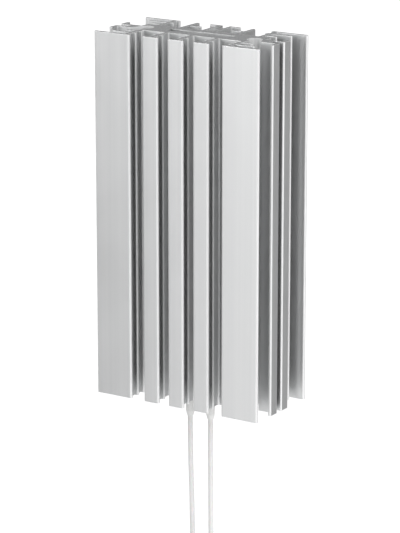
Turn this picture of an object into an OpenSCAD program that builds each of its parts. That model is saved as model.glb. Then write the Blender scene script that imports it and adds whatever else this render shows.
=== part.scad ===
// Enclosure heater: an extruded aluminium heat sink around a flat stack of PTC stones, with two
// leads below and a folded clip for a 35 mm rail behind.
// Units are millimetres. The origin is the middle of the rail's front face. -Y is the front, +Z is up.

/* [Heat sink] */
// Width of the section, side to side
body_w = 92; // [86:1:104]
// Length of the section, top to bottom
body_h = 180; // [150:5:240]
// Thickness of the core that holds the stones
core_t = 14.8; // [13:0.2:18]
// Length of the front fins, core to outer face
fin_front = 14.8; // [13.5:0.2:20]
// Length of the rear fins, core to outer face
fin_rear = 15.8; // [14.8:0.1:20]

/* [Flanges] */
// Width of each of the four corner flanges
flange_w = 20.2; // [18:0.1:21]
// Thickness of the outer flanges
flange_t = 1.7; // [1.4:0.1:2]
// Thickness of the fin stems
stem_t = 1.9; // [1.5:0.1:2.2]
// Thickness of the small cross-bars on the stems
bar_t = 1.4; // [1.2:0.1:1.6]
// Radius where a stem meets the core
root_r = 0.8; // [0.4:0.1:1]

/* [Front fins] */
// Spacing of the three front fins
fin_pitch = 14.2; // [13.6:0.1:14.6]
// Width of the flange on a front fin
tee_w = 8.6; // [7:0.1:9]
// Width of the cross-bar on a front fin
tee_bar_w = 5.4; // [4:0.2:6.4]

/* [Rear fins] */
// Distance from the middle to each plain rear fin
rear_fin_x = 15.8; // [15:0.1:18]
// Width of the flat seat for the clip
seat_w = 17.4; // [16:0.2:19]
// Width of the screw slot in the seat
slot_w = 4.1; // [3.6:0.1:4.4]

/* [Sides] */
// Width of the slot in each side
side_slot_w = 3.6; // [3.2:0.1:4.2]
// Depth of the slot in each side
side_slot_d = 6; // [4:0.5:8]
// Length of each side flange, front to back
side_flange_l = 6.4; // [5.6:0.1:7.4]
// Radius of the round channel beside the core
channel_r = 3.6; // [3.2:0.1:4]

/* [Heating stack] */
// Width of the cavity in the core
cavity_w = 36; // [34:0.5:38]
// Thickness of the cavity in the core
cavity_t = 4.8; // [4.6:0.1:5.4]
// Thickness of the insulating film
film_t = 0.2; // [0.15:0.05:0.3]
// Thickness of each electrode
electrode_t = 0.7; // [0.5:0.1:0.8]
// Height of each stone
stone_h = 21; // [18:0.5:24]
// Width of each stone
stone_w = 24; // [20:0.5:26]

/* [Leads] */
// Diameter of each lead
lead_d = 2.5; // [2:0.1:2.6]
// Distance of each lead from the middle
lead_x = 5.9; // [5.5:0.1:7.5]
// Outer diameter of the sleeve on each lead
sleeve_d = 4.3; // [3.6:0.1:4.4]
// Length of the sleeve below the heat sink
sleeve_out = 10.8; // [6:0.2:16]

/* [Rail clip] */
// Width of the clip
clip_w = 16; // [12:0.5:17]
// Thickness of the clip's sheet
clip_t = 1; // [0.8:0.1:1.4]
// Distance of each clip screw from the middle
screw_z = 30; // [29.5:0.5:36]
// Width of the clip's hooks
hook_w = 9; // [7:0.5:10]

/* [Hidden] */
$fn = 48;
eps = 0.01;

// The rail: a top-hat rail 35 mm wide with lips 1 mm thick
rail_half = 17.5;
rail_lip = 1;

// The core's middle plane, behind which are the rear fins and the clip
core_y = -(clip_t + fin_rear + core_t / 2);
half_w = body_w / 2;
half_h = body_h / 2;
half_core = core_t / 2;

// Corner groups: a stem, the flange on its end and two cross-bars
stem_in = half_w - 18.3;
stem_out = stem_in + stem_t;
group_in = half_w - flange_w;
bar1_front = half_w - 6.4;
bar1_rear = half_w - 5.4;
bar2_out = half_w - 10.6;
bar1_at = 5.8;
bar2_at = 11;
tee_bar_at = 7.3;
rear_bar_at = 8;

// The side section: two arms with a slot between them, on a block beside the round channel
arm_t = 1.5;
arm_v = side_slot_w / 2;
slot_v = -1.4;
block_in = half_w - 9.7;
block_out = half_w - side_slot_d;
block_v = arm_v + arm_t;
wall_out = half_w - 11.2;
channel_x = stem_out + 0.8;
channel_v = -0.4;

// The block's sloping inner face runs from its front corner to the channel, which it only touches
slope_dx = channel_x - block_in;
slope_dv = channel_v - (slot_v - block_v);
slope_far = sqrt(slope_dx * slope_dx + slope_dv * slope_dv);
slope_l = sqrt(slope_far * slope_far - channel_r * channel_r);
slope_a = atan2(slope_dv, slope_dx) - asin(channel_r / slope_far);
touch_x = block_in + slope_l * cos(slope_a);
touch_v = slot_v - block_v + slope_l * sin(slope_a);

// The stack, from the middle of the cavity outwards
stack_t = cavity_t / 2 - film_t;
stone_t = 2 * (stack_t - electrode_t);
seal_h = 6;
seal_inset = 2;
film_z1 = half_h - seal_inset - seal_h;
film_z0 = -film_z1;
stack_z1 = film_z1 - 2;
stack_z0 = film_z0 + 14;
stones = 6;
stone_pitch = (stack_z1 - stack_z0) / stones;
frame_w = cavity_w - 2 * film_t;
electrode_w = stone_w + 4;
tab_w = 4.4;
tab_z = stack_z0 - 4;
crimp_d = 2 * (stack_t - electrode_t);
crimp_z1 = stack_z0 - 0.5;
crimp_z0 = stack_z0 - 8.5;
sleeve_z1 = crimp_z0 - 1;
sleeve_z0 = -half_h - sleeve_out;
sleeve_taper = 2.4;

// The leads: down from the sleeves, then a coil that stands in front of each.
// Each point is how far the lead has moved sideways, and its height from the heat sink's lower end.
left_run = [
  [0, 0], [0, -6], [0, -12], [0, -18], [0.1, -24], [0.2, -30], [0.3, -36], [0.5, -42],
  [0.7, -48], [0.9, -54], [1, -60], [1.1, -66], [1.2, -72], [1.2, -78], [1.2, -84], [1.2, -92]
];
right_run = [
  [0, 0], [0, -6], [0, -12], [0, -18], [0, -24], [0, -30], [0.1, -36], [0.1, -42],
  [0.2, -48], [0.2, -54], [0.3, -60], [0.3, -66], [0.4, -72], [0.4, -78], [0.4, -84], [0.4, -92]
];
lead_end = crimp_z0;
coil_z = -half_h - 92;
coil_r = 14;
coil_y = core_y - coil_r;
coil_pitch = 2.6;
coil_turns = 2.5;
coil_span = coil_pitch * coil_turns;

// The clip's hooks stand just outside the rail's edges
hook_z = rail_half + 0.3;
hook_gap = rail_lip + 0.4;
hook_lip = 3;
window_h = 6;
clip_half = screw_z + 5;
slit_w = 0.9;
slit_top = 5;
screw_head_d = 7.6;
screw_head_h = 2.4;
screw_l = 9;

// A flat bar from a to b across X with round ends, its near face at v and its far face at v + t
module bar(a, b, v, t) {
  translate([a + t / 2, v]) square([b - a - t, t]);
  translate([a + t / 2, v + t / 2]) circle(d = t);
  translate([b - t / 2, v + t / 2]) circle(d = t);
}

// The hollow corner of radius r between two walls, pointing to +X and +Y
module root(r) {
  difference() {
    translate([-eps, -eps]) square(r + eps);
    translate([r, r]) circle(r = r);
  }
}

// Both hollow corners at the foot of a stem from x0 to x1 that stands on the line at v
module roots(x0, x1, v, r) {
  translate([x1, v]) root(r);
  translate([x0, v]) mirror([1, 0]) root(r);
}

// One front fin with its flange and its cross-bar, the outer face at v = 0 and the core at v = len
module tee(len) {
  bar(-tee_w / 2, tee_w / 2, 0, flange_t);
  translate([-stem_t / 2, flange_t / 2]) square([stem_t, len - flange_t / 2 + eps]);
  bar(-tee_bar_w / 2, tee_bar_w / 2, tee_bar_at, bar_t);
  roots(-stem_t / 2, stem_t / 2, flange_t, root_r / 2);
  translate([0, len]) mirror([0, 1]) roots(-stem_t / 2, stem_t / 2, 0, root_r);
}

// One corner group, the outer face at v = 0 and the core at v = len
module group(len, bar1_out, bar2_in) {
  bar(group_in, half_w, 0, flange_t);
  translate([stem_in, flange_t / 2]) square([stem_t, len - flange_t / 2 + eps]);
  bar(group_in, bar1_out, bar1_at, bar_t);
  bar(bar2_in, bar2_out, bar2_at, bar_t);
  roots(stem_in, stem_out, flange_t, root_r / 2);
  translate([stem_in, len]) mirror([1, 0]) mirror([0, 1]) root(root_r);
}

// One side: the rear wall, the block and the two arms with their flanges, a little in front of the core's middle
module side() {
  polygon([
    [block_in, slot_v - block_v],
    [block_out, slot_v - block_v],
    [block_out, slot_v + block_v],
    [wall_out, slot_v + block_v],
    [wall_out, half_core],
    [stem_in, half_core],
    [stem_in, channel_v],
    [channel_x, channel_v],
    [touch_x, touch_v]
  ]);
  for (s = [0, 1]) {
    translate([0, slot_v]) mirror([0, s]) {
      translate([block_out - 1, arm_v]) square([half_w - flange_t / 2 - block_out + 1, arm_t]);
      translate([half_w - flange_t, arm_v + flange_t / 2]) square([flange_t, side_flange_l - flange_t]);
      translate([half_w - flange_t / 2, arm_v + flange_t / 2]) circle(d = flange_t);
      translate([half_w - flange_t / 2, arm_v + side_flange_l - flange_t / 2]) circle(d = flange_t);
      translate([half_w - flange_t, arm_v + arm_t]) mirror([1, 0]) root(root_r);
    }
  }
}

// The two fins that carry the clip's seat, and the plain fin beside them, the core at v = 0
module rear_fins(len) {
  seat_in = slot_w / 2;
  translate([seat_in, -eps]) square([stem_t, len + eps]);
  translate([seat_in, len - flange_t]) square([seat_w / 2 - seat_in - flange_t / 2, flange_t]);
  translate([seat_w / 2 - flange_t / 2, len - flange_t / 2]) circle(d = flange_t);
  translate([seat_in + stem_t, 0]) root(root_r);
  translate([seat_in + stem_t, len - flange_t]) mirror([0, 1]) root(root_r);
  translate([rear_fin_x - stem_t / 2, -eps]) square([stem_t, len - stem_t / 2 + eps]);
  translate([rear_fin_x, len - stem_t / 2]) circle(d = stem_t);
  bar(seat_w / 2, rear_fin_x, len - rear_bar_at - bar_t, bar_t);
  roots(rear_fin_x - stem_t / 2, rear_fin_x + stem_t / 2, 0, root_r);
}

// The whole section, with v = 0 at the core's middle plane and the front towards -v
module section() {
  difference() {
    union() {
      translate([-stem_out, -half_core]) square([2 * stem_out, core_t]);
      for (s = [0, 1]) {
        mirror([s, 0]) {
          translate([0, -half_core - fin_front]) group(fin_front, bar1_front, group_in);
          mirror([0, 1]) translate([0, -half_core - fin_rear]) group(fin_rear, bar1_rear, stem_in);
          side();
          translate([0, half_core]) rear_fins(fin_rear);
        }
      }
      for (k = [-1, 0, 1]) translate([k * fin_pitch, -half_core - fin_front]) tee(fin_front);
    }
    for (s = [-1, 1]) translate([s * channel_x, channel_v]) circle(r = channel_r);
    translate([-cavity_w / 2, -cavity_t / 2]) square([cavity_w, cavity_t]);
  }
}

module heatsink_profile() {
  color("#c4c7c9") translate([0, core_y, -half_h]) linear_extrude(height = body_h) section();
}

// A plate on the cavity's middle plane: w across, from y0 to y1 and from z0 to z1
module plate(w, y0, y1, z0, z1) {
  translate([-w / 2, core_y + y0, z0]) cube([w, y1 - y0, z1 - z0]);
}

module insulation_film() {
  color("#b8862e") difference() {
    plate(cavity_w, -cavity_t / 2, cavity_t / 2, film_z0, film_z1);
    plate(frame_w, -stack_t, stack_t, film_z0 - 1, film_z1 + 1);
  }
}

module stone_frame() {
  color("#e8e2d0") difference() {
    plate(frame_w, -stone_t / 2, stone_t / 2, stack_z0, stack_z1);
    for (k = [0 : stones - 1]) stone(k, 2);
  }
}

// Stone k from the bottom; out makes it thicker, for the window that it sits in
module stone(k, out) {
  z = stack_z0 + (k + 0.5) * stone_pitch;
  plate(stone_w, -stone_t / 2 - out, stone_t / 2 + out, z - stone_h / 2, z + stone_h / 2);
}

module ptc_stone(k) {
  color("#6d6a66") stone(k - 1, 0);
}

// One electrode, s = -1 in front of the stones with its tab on the left, s = 1 behind with it on the right
module electrode(s) {
  color("#b9bcc0") {
    translate([0, s * (stone_t + electrode_t) / 2, 0])
      plate(electrode_w, -electrode_t / 2, electrode_t / 2, stack_z0, stack_z1);
    translate([s * lead_x, s * (stone_t + electrode_t) / 2, 0])
      plate(tab_w, -electrode_t / 2, electrode_t / 2, tab_z, stack_z0 + eps);
  }
}

module electrode_front() {
  electrode(-1);
}

module electrode_rear() {
  electrode(1);
}

// One crimp: a barrel on the lead's end with a flat foot against the electrode's tab
module crimp(s) {
  color("#d2c9a8") {
    translate([s * lead_x, core_y, crimp_z0]) cylinder(d = crimp_d, h = crimp_z1 - crimp_z0);
    translate([s * lead_x - crimp_d / 2, core_y + (s > 0 ? 0 : -crimp_d / 2), tab_z])
      cube([crimp_d, crimp_d / 2, crimp_z1 - tab_z]);
  }
}

module crimp_left() {
  crimp(-1);
}

module crimp_right() {
  crimp(1);
}

module top_seal() {
  color("#d9d9d4") plate(cavity_w, -cavity_t / 2, cavity_t / 2, film_z1, film_z1 + seal_h);
}

module bottom_seal() {
  color("#d9d9d4") difference() {
    plate(cavity_w, -cavity_t / 2, cavity_t / 2, film_z0 - seal_h, film_z0);
    for (s = [-1, 1]) translate([s * lead_x, core_y, film_z0 - seal_h - 1]) cylinder(d = sleeve_d, h = seal_h + 2);
  }
}

module lead_sleeve(s) {
  color("#f0f0ee") translate([s * lead_x, core_y, sleeve_z0]) difference() {
    union() {
      cylinder(d1 = lead_d + 0.7, d2 = sleeve_d, h = sleeve_taper);
      translate([0, 0, sleeve_taper]) cylinder(d = sleeve_d, h = sleeve_z1 - sleeve_z0 - sleeve_taper);
    }
    translate([0, 0, -1]) cylinder(d = lead_d, h = sleeve_z1 - sleeve_z0 + 2);
  }
}

module lead_sleeve_left() {
  lead_sleeve(-1);
}

module lead_sleeve_right() {
  lead_sleeve(1);
}

// The points that a lead follows, from its crimp to its coil, and a ring of eight corners at each
function run(s) = s < 0 ? left_run : right_run;
function lead_route(s) = concat(
  [[s * lead_x, lead_end]], [for (p = run(s)) [s * lead_x + p[0], p[1] - half_h]]
);
function lead_ring(p) = [
  for (j = [0 : 7]) [p[0] + lead_d / 2 * cos(45 * j), core_y + lead_d / 2 * sin(45 * j), p[1]]
];
function lead_sides(n) = [
  for (i = [0 : n - 1]) for (j = [0 : 7])
    [8 * i + j, 8 * i + (j + 1) % 8, 8 * i + 8 + (j + 1) % 8, 8 * i + 8 + j]
];
function coil_x(s) = lead_route(s)[len(run(s))][0];

module lead(s) {
  n = len(run(s));
  color("#f2f2f0") polyhedron(
    points = [for (p = lead_route(s)) each lead_ring(p)],
    faces = concat([[for (j = [7 : -1 : 0]) j]], lead_sides(n), [[for (j = [0 : 7]) 8 * n + j]])
  );
}

module lead_left() {
  lead(-1);
}

module lead_right() {
  lead(1);
}

// The ring that a lead's coil fills: its turns lie side by side, away from the other coil
module coil(s) {
  color("#f2f2f0") translate([coil_x(s) + s * coil_span / 2, coil_y, coil_z])
    rotate([0, 90, 0]) rotate_extrude() translate([coil_r, 0]) {
      square([lead_d, coil_span], center = true);
      for (k = [-1, 1]) translate([0, k * coil_span / 2]) circle(d = lead_d);
    }
}

module lead_left_coil() {
  coil(-1);
}

module lead_right_coil() {
  coil(1);
}

// The end sleeve on a lead's last turn: a collar and a thin tube
module ferrule(s) {
  color("#c9cdd1") translate([coil_x(s) + s * coil_span, coil_y - coil_r, coil_z]) {
    cylinder(d = 3.4, h = 5);
    translate([0, 0, 5]) cylinder(d = 1.7, h = 8);
  }
}

module ferrule_left() {
  ferrule(-1);
}

module ferrule_right() {
  ferrule(1);
}

// The tie around a coil's lowest turns
module coil_tie(s) {
  wide = coil_span + lead_d;
  color("#8a8d90") translate([coil_x(s) + s * coil_span / 2, coil_y, coil_z - coil_r]) difference() {
    cube([wide + 1.6, 2.5, lead_d + 1.8], center = true);
    cube([wide, 4, lead_d + 0.2], center = true);
  }
}

module coil_tie_left() {
  coil_tie(-1);
}

module coil_tie_right() {
  coil_tie(1);
}

// A hook seen from the side, with Y across and Z up: out from the base, then down behind the rail's lip
module hook_outline() {
  translate([-clip_t, hook_z - 2]) square([clip_t, 2]);
  intersection() {
    translate([0, hook_z]) circle(r = clip_t);
    translate([-clip_t, hook_z - eps]) square([clip_t + eps, clip_t + 1]);
  }
  translate([-eps, hook_z]) square([hook_gap + 2 * eps, clip_t]);
  intersection() {
    translate([hook_gap, hook_z]) circle(r = clip_t);
    translate([hook_gap, hook_z - eps]) square([clip_t + 1, clip_t + 1]);
  }
  translate([hook_gap, hook_z - hook_lip]) square([clip_t, hook_lip]);
  translate([hook_gap + clip_t / 2, hook_z - hook_lip]) circle(d = clip_t);
}

// The flat base with a window beyond each hook, and slits that let the lower hook spring
module clip_base() {
  difference() {
    translate([-clip_w / 2, -clip_half]) square([clip_w, 2 * clip_half]);
    for (s = [-1, 1]) {
      translate([-hook_w / 2 - slit_w, s > 0 ? hook_z - 1 : -hook_z - window_h])
        square([hook_w + 2 * slit_w, window_h + 1]);
      translate([s * (hook_w + slit_w) / 2 - slit_w / 2, -hook_z - 1]) square([slit_w, hook_z + 1 - slit_top]);
      translate([s * (hook_w + slit_w) / 2, -slit_top]) circle(d = slit_w);
      translate([0, s * screw_z]) circle(d = slot_w + 0.2);
    }
  }
}

module din_clip() {
  color("#9aa0a4") {
    rotate([90, 0, 0]) linear_extrude(height = clip_t) clip_base();
    for (s = [0, 1]) {
      mirror([0, 0, s]) rotate([90, 0, 90]) translate([0, 0, -hook_w / 2])
        linear_extrude(height = hook_w) hook_outline();
    }
  }
}

module clip_screws() {
  color("#b4b7ba") for (s = [-1, 1]) translate([0, 0, s * screw_z]) rotate([-90, 0, 0]) difference() {
    union() {
      cylinder(d = screw_head_d, h = screw_head_h);
      translate([0, 0, -screw_l]) cylinder(d = slot_w, h = screw_l + eps);
    }
    translate([0, 0, screw_head_h]) {
      cube([4.4, 0.9, 2.4], center = true);
      cube([0.9, 4.4, 2.4], center = true);
    }
  }
}

heatsink_profile();
insulation_film();
stone_frame();
ptc_stone(1);  // ptc_stone_1
ptc_stone(2);  // ptc_stone_2
ptc_stone(3);  // ptc_stone_3
ptc_stone(4);  // ptc_stone_4
ptc_stone(5);  // ptc_stone_5
ptc_stone(6);  // ptc_stone_6
electrode_front();
electrode_rear();
crimp_left();
crimp_right();
top_seal();
bottom_seal();
lead_sleeve_left();
lead_sleeve_right();
lead_left();
lead_right();
lead_left_coil();
lead_right_coil();
ferrule_left();
ferrule_right();
coil_tie_left();
coil_tie_right();
din_clip();
clip_screws();
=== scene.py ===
"""The looks of the enclosure heater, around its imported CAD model.

Everything is in metres, in the CAD frame: +Z is up and the fins' front is -Y.
"""

import math

import bpy
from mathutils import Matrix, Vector


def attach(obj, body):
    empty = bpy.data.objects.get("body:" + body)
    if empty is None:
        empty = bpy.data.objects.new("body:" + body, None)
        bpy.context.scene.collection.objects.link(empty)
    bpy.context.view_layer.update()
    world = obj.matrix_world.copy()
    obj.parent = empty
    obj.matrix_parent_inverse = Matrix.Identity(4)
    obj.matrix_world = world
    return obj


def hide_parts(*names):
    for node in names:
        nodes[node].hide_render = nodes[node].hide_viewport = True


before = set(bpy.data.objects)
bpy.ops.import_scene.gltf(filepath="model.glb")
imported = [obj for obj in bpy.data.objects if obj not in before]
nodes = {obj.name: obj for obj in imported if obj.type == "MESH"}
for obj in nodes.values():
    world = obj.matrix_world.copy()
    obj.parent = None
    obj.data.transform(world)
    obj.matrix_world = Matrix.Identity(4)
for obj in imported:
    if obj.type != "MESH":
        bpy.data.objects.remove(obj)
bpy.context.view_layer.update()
scene = bpy.context.scene
scene.view_settings.view_transform = "Standard"
# The fin gaps mirror each other many times
scene.cycles.max_bounces = scene.cycles.glossy_bounces = 24

# The camera, fitted to the photograph's corners
AZIMUTH, ELEVATION, DISTANCE = math.radians(32.66), math.radians(15.073), 1.3
AIM = Vector((-0.00042, -0.0239, -0.02458))
LENS, SENSOR = 181.18, 36
to_camera = Vector(
    (
        math.sin(AZIMUTH) * math.cos(ELEVATION),
        -math.cos(AZIMUTH) * math.cos(ELEVATION),
        math.sin(ELEVATION),
    )
)
lens = bpy.data.cameras.new("camera")
lens.lens, lens.sensor_width, lens.sensor_fit = LENS, SENSOR, "AUTO"
lens.clip_start, lens.clip_end = 0.05, 50
camera = bpy.data.objects.new("camera", lens)
camera.location = AIM + to_camera * DISTANCE
camera.rotation_euler = (-to_camera).to_track_quat("-Z", "Y").to_euler()
scene.collection.objects.link(camera)
scene.camera = camera

# The leads: the same points as in the CAD source, then the turns of each coil
LEAD_D, LEAD_X, CORE_Y, LOW_END = 0.0025, 0.0059, -0.0242, -0.09
CRIMP_Z, SLEEVE_OUT = -0.0765, 0.0108
COIL_Z, COIL_R, COIL_PITCH, COIL_TURNS, TURN_STEPS = -0.182, 0.014, 0.0026, 2.5, 40
# Each lead's way down, in mm: heights below the body's lower end, and how far it strays sideways
HEIGHTS = [0, -6, -12, -18, -24, -30, -36, -42, -48, -54, -60, -66, -72, -78, -84, -92]
SIDEWAYS = {
    -1: [0, 0, 0, 0, 0.1, 0.2, 0.3, 0.5, 0.7, 0.9, 1, 1.1, 1.2, 1.2, 1.2, 1.2],
    1: [0, 0, 0, 0, 0, 0, 0.1, 0.1, 0.2, 0.2, 0.3, 0.3, 0.4, 0.4, 0.4, 0.4],
}


def lead_points(side):
    points = [(side * LEAD_X, CORE_Y, CRIMP_Z)]
    for dx, dz in zip(SIDEWAYS[side], HEIGHTS):
        points.append((side * LEAD_X + dx / 1000, CORE_Y, LOW_END + dz / 1000))
    x = points[-1][0]
    for i in range(1, int(COIL_TURNS * TURN_STEPS) + 1):
        a = 2 * math.pi * i / TURN_STEPS
        points.append(
            (
                x + side * COIL_PITCH * i / TURN_STEPS,
                CORE_Y - COIL_R + COIL_R * math.cos(a),
                COIL_Z - COIL_R * math.sin(a),
            )
        )
    return points


def make_lead(name, side):
    points = lead_points(side)
    curve = bpy.data.curves.new(name, "CURVE")
    curve.dimensions = "3D"
    # The bevel is 1 m, so a point's radius is the lead's own
    curve.bevel_depth, curve.bevel_resolution, curve.use_fill_caps = 1.0, 5, True
    spline = curve.splines.new("POLY")
    spline.points.add(len(points) - 1)
    for p, xyz in zip(spline.points, points):
        p.co, p.radius = (*xyz, 1), LEAD_D / 2
    spline.use_smooth = True
    lead = bpy.data.objects.new(name, curve)
    scene.collection.objects.link(lead)
    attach(lead, "root")
    word = "left" if side < 0 else "right"
    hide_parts(f"lead_{word}", f"lead_{word}_coil")
    return lead


lead_left = make_lead("white_lead_left", -1)
lead_right = make_lead("white_lead_right", 1)


class Shader:
    """A material with one Principled shader and short calls for the nodes around it."""

    def __init__(self, name):
        self.mat = bpy.data.materials.new(name)
        self.mat.use_nodes = True
        self.tree = self.mat.node_tree
        self.bsdf = next(n for n in self.tree.nodes if n.type == "BSDF_PRINCIPLED")
        self.object = self.node("ShaderNodeTexCoord").outputs["Object"]

    def put(self, value, socket):
        """Link a node's output to a socket, or set the socket to a plain value."""
        if hasattr(value, "is_linked"):
            self.tree.links.new(value, socket)
        else:
            socket.default_value = value

    def node(self, kind, **sockets):
        n = self.tree.nodes.new(kind)
        for key, value in sockets.items():
            self.put(value, n.inputs[key])
        return n

    def link(self, out, name):
        self.tree.links.new(out, self.bsdf.inputs[name])

    def set(self, **values):
        for key, value in values.items():
            self.bsdf.inputs[key.replace("_", " ")].default_value = value

    def parts(self, vector):
        return self.node("ShaderNodeSeparateXYZ", Vector=vector).outputs

    def noise(self, scale, detail, vector=None):
        return self.node(
            "ShaderNodeTexNoise",
            Vector=vector or self.object,
            Scale=scale,
            Detail=detail,
            Roughness=0.55,
        ).outputs["Fac"]

    def streaks(self, frequency, detail):
        """Noise with its own frequency along X, Y and Z."""
        stretched = self.node("ShaderNodeMapping", Vector=self.object, Scale=frequency)
        return self.noise(1.0, detail, stretched.outputs["Vector"])

    def span(self, value, low, high, from_low=0.25, from_high=0.75):
        """Map from_low..from_high, by default most of a noise's range, to low..high."""
        n = self.node("ShaderNodeMapRange", Value=value)
        for key, v in (
            ("From Min", from_low),
            ("From Max", from_high),
            ("To Min", low),
            ("To Max", high),
        ):
            n.inputs[key].default_value = v
        return n.outputs["Result"]

    def math(self, kind, a, b=0.0):
        n = self.tree.nodes.new("ShaderNodeMath")
        n.operation = kind
        self.put(a, n.inputs[0])
        self.put(b, n.inputs[1])
        return n.outputs[0]

    def times(self, a, b):
        return self.math("MULTIPLY", a, b)

    def plus(self, a, b):
        return self.math("ADD", a, b)

    def largest(self, a, b):
        return self.math("MAXIMUM", a, b)

    def size(self, value):
        return self.math("ABSOLUTE", value)

    def dot(self, a, b):
        n = self.tree.nodes.new("ShaderNodeVectorMath")
        n.operation = "DOT_PRODUCT"
        self.tree.links.new(a, n.inputs[0])
        self.tree.links.new(b, n.inputs[1])
        return n.outputs["Value"]

    def mix(self, fac, a, b):
        n = self.tree.nodes.new("ShaderNodeMix")
        n.data_type = "RGBA"
        self.put(fac, n.inputs[0])
        for colour, socket in ((a, n.inputs[6]), (b, n.inputs[7])):
            self.put((*colour, 1) if isinstance(colour, tuple) else colour, socket)
        return n.outputs[2]

    def mix_value(self, fac, a, b):
        n = self.tree.nodes.new("ShaderNodeMix")
        for value, i in ((fac, 0), (a, 2), (b, 3)):
            self.put(value, n.inputs[i])
        return n.outputs[0]

    def soft_edge(self, radius):
        n = self.node("ShaderNodeBevel", Radius=radius)
        n.samples = 4
        return n.outputs["Normal"]

    def bump(self, height, distance, strength, normal=None):
        n = self.node("ShaderNodeBump", Height=height, Distance=distance, Strength=strength)
        if normal is not None:
            self.tree.links.new(normal, n.inputs["Normal"])
        return n.outputs["Normal"]


def give(material, *names):
    for name in names:
        data = nodes[name].data
        data.materials.clear()
        data.materials.append(material)


def darker(colour, share):
    return tuple(c * share for c in colour)


# Places on the extrusion's section, each with the width over which the painted shade fades there
MIDDLE_X = (0.031, 0.036)  # the fins between the corner groups
SIDE_SLOT_Y, SIDE_SLOT_HALF = -0.0256, (0.003, 0.006)
NEAR_END_Z = (0.078, 0.09)
CROSS_BAR_Y = (-0.0395, -0.0375)  # the bars on the front T fins
CORE_FRONT_Y = (-0.031, -0.029)
SATIN_DARK, SATIN_LIGHT = (0.77, 0.776, 0.78), (0.81, 0.815, 0.817)
SAWN_DARK, SAWN_LIGHT = (0.095, 0.097, 0.1), (0.31, 0.314, 0.318)
# The first colour is a near-black painted shade for the fin gaps and slots, the second a
# near-white painted highlight for the edges
PAINTED_SHADE, PAINTED_HIGHLIGHT = (0.05, 0.051, 0.052), (0.97, 0.973, 0.975)


def extrusion():
    """Satin anodised aluminium: fine lines along Z from the die, and saw marks on the cut ends.

    The fin gaps and the side slots are painted darker than the open faces (painted shade), and
    convex edges are painted lighter (painted highlight).
    """
    s = Shader("anodised_extrusion")
    normal = s.node("ShaderNodeNewGeometry").outputs["True Normal"]
    facing = s.parts(normal)
    place = s.parts(s.object)
    end = s.math("GREATER_THAN", s.size(facing["Z"]), 0.8)
    fine = s.streaks((5200, 5200, 9), 2.0)
    broad = s.streaks((420, 420, 3), 2.0)
    saw = s.streaks((240, 5200, 1), 3.0)
    cloud = s.noise(38.0, 3.0)
    grit = s.noise(2600.0, 2.0)
    chips = s.noise(1300.0, 3.0)
    # How open each point is; this drives the painted shade and the painted highlights
    shelter = s.node("ShaderNodeAmbientOcclusion", Distance=0.007)
    shelter.samples = 6
    open_air = shelter.outputs["AO"]

    # Painted shade: the fin gaps are painted dark away from the ends, but less so between the
    # cross-bars and the core
    middle = s.span(s.size(place["X"]), 1.0, 0.0, *MIDDLE_X)
    inner = s.span(s.size(place["Z"]), 1.0, 0.0, *NEAR_END_Z)
    behind_bar = s.span(place["Y"], 1.0, 0.25, *CROSS_BAR_Y)
    behind_core = s.span(place["Y"], 0.0, 1.0, *CORE_FRONT_Y)
    gaps = s.times(s.times(s.span(open_air, 1.0, 0.0, 0.3, 0.75), middle), inner)
    gaps = s.times(gaps, s.largest(behind_bar, behind_core))
    # The side slots get painted shade too, where they are sheltered
    off_slot = s.size(s.plus(place["Y"], -SIDE_SLOT_Y))
    slots = s.times(
        s.span(open_air, 0.7, 0.0, 0.28, 0.5),
        s.span(off_slot, 1.0, 0.0, *SIDE_SLOT_HALF),
    )
    side_colour = s.mix(s.span(broad, 0.0, 1.0), SATIN_DARK, SATIN_LIGHT)
    # Painted shade: the gaps and slots are mixed towards a near-black colour
    side_colour = s.mix(s.largest(gaps, slots), side_colour, PAINTED_SHADE)
    cut = s.plus(s.times(saw, 0.45), s.times(chips, 0.55))
    end_colour = s.mix(s.span(cut, 0.0, 1.0, 0.36, 0.64), SAWN_DARK, SAWN_LIGHT)

    # Painted highlights: sharp edges in the open, and the round ends of fins and bars, are
    # painted near white and less metallic
    edge = s.soft_edge(0.00045)
    round_off = s.size(s.times(facing["X"], facing["Y"]))
    sharp = s.times(
        s.span(s.dot(edge, normal), 0.8, 0.0, 0.84, 0.985),
        s.span(open_air, 0.0, 1.0, 0.6, 0.85),
    )
    nose = s.times(
        s.span(round_off, 0.0, 1.0, 0.05, 0.3),
        s.span(open_air, 0.0, 1.0, 0.2, 0.45),
    )
    highlight_mask = s.largest(sharp, nose)
    # Painted highlight: the edge masks mix the colour towards near white and lower the metallic
    # value
    s.link(s.mix(highlight_mask, s.mix(end, side_colour, end_colour), PAINTED_HIGHLIGHT), "Base Color")
    s.link(s.span(highlight_mask, 0.84, 0.4, 0.0, 0.8), "Metallic")

    side_rough = s.plus(s.span(fine, 0.31, 0.37), s.span(cloud, -0.02, 0.02))
    s.link(s.mix_value(end, side_rough, s.span(grit, 0.38, 0.56)), "Roughness")
    lines = s.plus(s.times(fine, 0.2), s.times(broad, 0.05))
    marks = s.plus(s.times(saw, 1.6), s.times(grit, 0.5))
    s.link(s.bump(s.mix_value(end, lines, marks), 0.00002, 0.5, edge), "Normal")
    return s.mat


def sheet_metal(name, colour, rough, grain):
    """Plated or rolled metal with a soft mottle and fine rolling lines."""
    s = Shader(name)
    mottle = s.noise(160.0, 4.0)
    lines = s.streaks(grain, 2.0)
    s.link(s.mix(s.span(mottle, 0.0, 1.0), darker(colour, 0.84), colour), "Base Color")
    s.link(s.span(lines, rough - 0.06, rough + 0.08), "Roughness")
    s.link(s.bump(lines, 0.000015, 0.5, s.soft_edge(0.0002)), "Normal")
    s.set(Metallic=1.0)
    return s.mat


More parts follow.
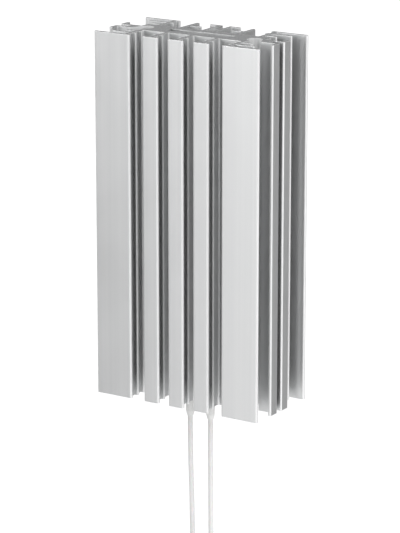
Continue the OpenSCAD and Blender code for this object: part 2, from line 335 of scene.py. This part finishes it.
def silicone(name, colour, rough):
    """Soft extruded silicone: faint mottling, a dull skin and a little light inside."""
    s = Shader(name)
    mottle = s.noise(420.0, 4.0)
    skin = s.noise(2400.0, 2.0)
    s.link(s.mix(s.span(mottle, 0.0, 1.0), darker(colour, 0.95), colour), "Base Color")
    s.link(s.span(skin, rough - 0.05, rough + 0.09), "Roughness")
    s.link(s.bump(skin, 0.00002, 0.35), "Normal")
    s.set(Subsurface_Weight=0.08, Subsurface_Scale=0.002, Specular_IOR_Level=0.4)
    return s.mat


STRANDS, STRAND_TURN = 8.0, 5200.0  # strands around a sleeve, and radians along each metre


def braid(name, colour):
    """A woven glass-fibre sleeve: two sets of crossing strands around the lead."""
    s = Shader(name)
    place = s.parts(s.object)
    x = s.math("SUBTRACT", s.size(place["X"]), LEAD_X)
    y = s.math("SUBTRACT", place["Y"], CORE_Y)
    around = s.times(s.math("ARCTAN2", y, x), STRANDS)
    along = s.times(place["Z"], STRAND_TURN)
    one = s.math("SINE", s.plus(around, along))
    two = s.math("SINE", s.math("SUBTRACT", around, along))
    weave = s.largest(one, two)
    s.link(s.mix(s.span(weave, 0.0, 1.0, -0.4, 1.0), darker(colour, 0.95), colour), "Base Color")
    s.link(s.bump(weave, 0.00003, 0.4), "Normal")
    s.set(Roughness=0.68, Sheen_Weight=0.15)
    return s.mat


def moulded(name, colour, rough, scale):
    """Moulded plastic, fired ceramic or film: speckle and a fine grain."""
    s = Shader(name)
    speck = s.noise(scale, 4.0)
    grain = s.noise(scale * 5, 2.0)
    s.link(s.mix(s.span(speck, 0.0, 1.0), darker(colour, 0.78), colour), "Base Color")
    s.link(s.span(grain, rough - 0.08, rough + 0.08), "Roughness")
    s.link(s.bump(grain, 0.00002, 0.4), "Normal")
    return s.mat


give(extrusion(), "heatsink_profile")
give(sheet_metal("zinc_plated_clip", (0.56, 0.58, 0.6), 0.32, (6, 60, 2200)), "din_clip")
give(sheet_metal("zinc_plated_screw", (0.62, 0.63, 0.65), 0.3, (900, 60, 900)), "clip_screws")
rolled = sheet_metal("rolled_electrode", (0.7, 0.71, 0.73), 0.3, (1800, 60, 8))
give(rolled, "electrode_front", "electrode_rear")
tin = sheet_metal("tinned_copper", (0.74, 0.74, 0.72), 0.28, (700, 700, 40))
give(tin, "crimp_left", "crimp_right", "ferrule_left", "ferrule_right")
lead_skin = silicone("white_silicone", (0.93, 0.93, 0.925), 0.36)
for lead in (lead_left, lead_right):
    lead.data.materials.append(lead_skin)
give(silicone("grey_silicone", (0.3, 0.3, 0.3), 0.55), "top_seal", "bottom_seal")
give(braid("glass_sleeve", (0.97, 0.97, 0.96)), "lead_sleeve_left", "lead_sleeve_right")
give(moulded("tie_nylon", (0.42, 0.43, 0.44), 0.45, 900.0), "coil_tie_left", "coil_tie_right")
ceramic = moulded("fired_ceramic", (0.3, 0.29, 0.275), 0.6, 1400.0)
give(ceramic, *[f"ptc_stone_{k}" for k in range(1, 7)])
give(moulded("frame_insulator", (0.82, 0.79, 0.68), 0.5, 700.0), "stone_frame")
give(moulded("amber_film", (0.6, 0.36, 0.08), 0.25, 300.0), "insulation_film")

# The floor, the background and the lamps
FLOOR_Z, FLOOR_SIDE, FLOOR_GREY, FLOOR_GLOW = -1.0, 40, 0.86, 0.52
SKY_LIGHT, SKY_SEEN = 0.5, 1.0
SUN_WAY, SUN_STRENGTH, SUN_SPREAD = Vector((-0.4, 0.5, -0.75)), 0.8, math.radians(60)
LAMP_AIM = Vector((0, -0.02, 0))


def plane(name, width, height, place):
    w, h = width / 2, height / 2
    mesh = bpy.data.meshes.new(name)
    mesh.from_pydata([(-w, -h, 0), (w, -h, 0), (w, h, 0), (-w, h, 0)], [], [(0, 1, 2, 3)])
    o = bpy.data.objects.new(name, mesh)
    o.location = place
    scene.collection.objects.link(o)
    return o


def matte(name, grey):
    s = Shader(name)
    s.set(Base_Color=(grey, grey, grey, 1), Roughness=0.9, Specular_IOR_Level=0.0)
    return s


def seen(tree):
    """1 for the rays that show the background: camera, glossy and transmission rays."""
    path = tree.nodes.new("ShaderNodeLightPath").outputs
    result = path["Is Camera Ray"]
    for name in ("Is Glossy Ray", "Is Transmission Ray"):
        larger = tree.nodes.new("ShaderNodeMath")
        larger.operation = "MAXIMUM"
        tree.links.new(result, larger.inputs[0])
        tree.links.new(path[name], larger.inputs[1])
        result = larger.outputs[0]
    return result


floor = plane("floor", FLOOR_SIDE, FLOOR_SIDE, (0, 0, FLOOR_Z))
pale = matte("pale_floor", FLOOR_GREY)
pale.set(Emission_Color=(1, 1, 1, 1))
pale.link(pale.times(seen(pale.tree), FLOOR_GLOW), "Emission Strength")
floor.data.materials.append(pale.mat)

world = bpy.data.worlds.new("studio")
scene.world = world
world.use_nodes = True
tree = world.node_tree
background = next(n for n in tree.nodes if n.type == "BACKGROUND")
background.inputs["Color"].default_value = (1, 1, 1, 1)
level = tree.nodes.new("ShaderNodeMapRange")
tree.links.new(seen(tree), level.inputs["Value"])
level.inputs["To Min"].default_value = SKY_LIGHT
level.inputs["To Max"].default_value = SKY_SEEN
tree.links.new(level.outputs["Result"], background.inputs["Strength"])


def aim(o, way):
    o.rotation_euler = way.to_track_quat("-Z", "Y").to_euler()


def lamp(name, place, width, height, watts, mirrored):
    """An area lamp that faces the heater: either only its metal mirrors it, or it only lights."""
    light = bpy.data.lights.new(name, "AREA")
    light.shape, light.size, light.size_y = "RECTANGLE", width, height
    light.energy = watts
    o = bpy.data.objects.new(name, light)
    o.location = place
    aim(o, LAMP_AIM - Vector(place))
    o.visible_glossy, o.visible_diffuse = mirrored, not mirrored
    scene.collection.objects.link(o)


def card(name, width, height, azimuth, distance, middle, grey):
    """A standing studio card that faces the heater and shades what its metal mirrors."""
    a = math.radians(azimuth)
    place = (distance * math.sin(a), -distance * math.cos(a), middle)
    o = plane(name, width, height, place)
    o.rotation_euler = (math.pi / 2, 0, a)
    o.visible_camera = o.visible_diffuse = o.visible_shadow = False
    o.data.materials.append(matte(name, grey).mat)


sun = bpy.data.lights.new("sun", "SUN")
sun.energy, sun.angle = SUN_STRENGTH, SUN_SPREAD
sun_object = bpy.data.objects.new("sun", sun)
aim(sun_object, SUN_WAY)
scene.collection.objects.link(sun_object)
lamp("key", (-0.85, -1.15, 0.5), 0.6, 0.5, 9, mirrored=True)
lamp("low", (0.35, -0.75, -0.7), 0.8, 0.5, 1.0, mirrored=False)
lamp("right", (1.49, -0.15, -0.2), 1.4, 1.5, 7, mirrored=False)
card("card_left", 0.66, 1.6, azimuth=-58.5, distance=0.6, middle=0.0, grey=0.42)
card("card_front", 0.62, 2.4, azimuth=32, distance=1.5, middle=0.2, grey=0.0)
card("card_back", 1.6, 2.0, azimuth=147, distance=1.4, middle=0.0, grey=0.36)
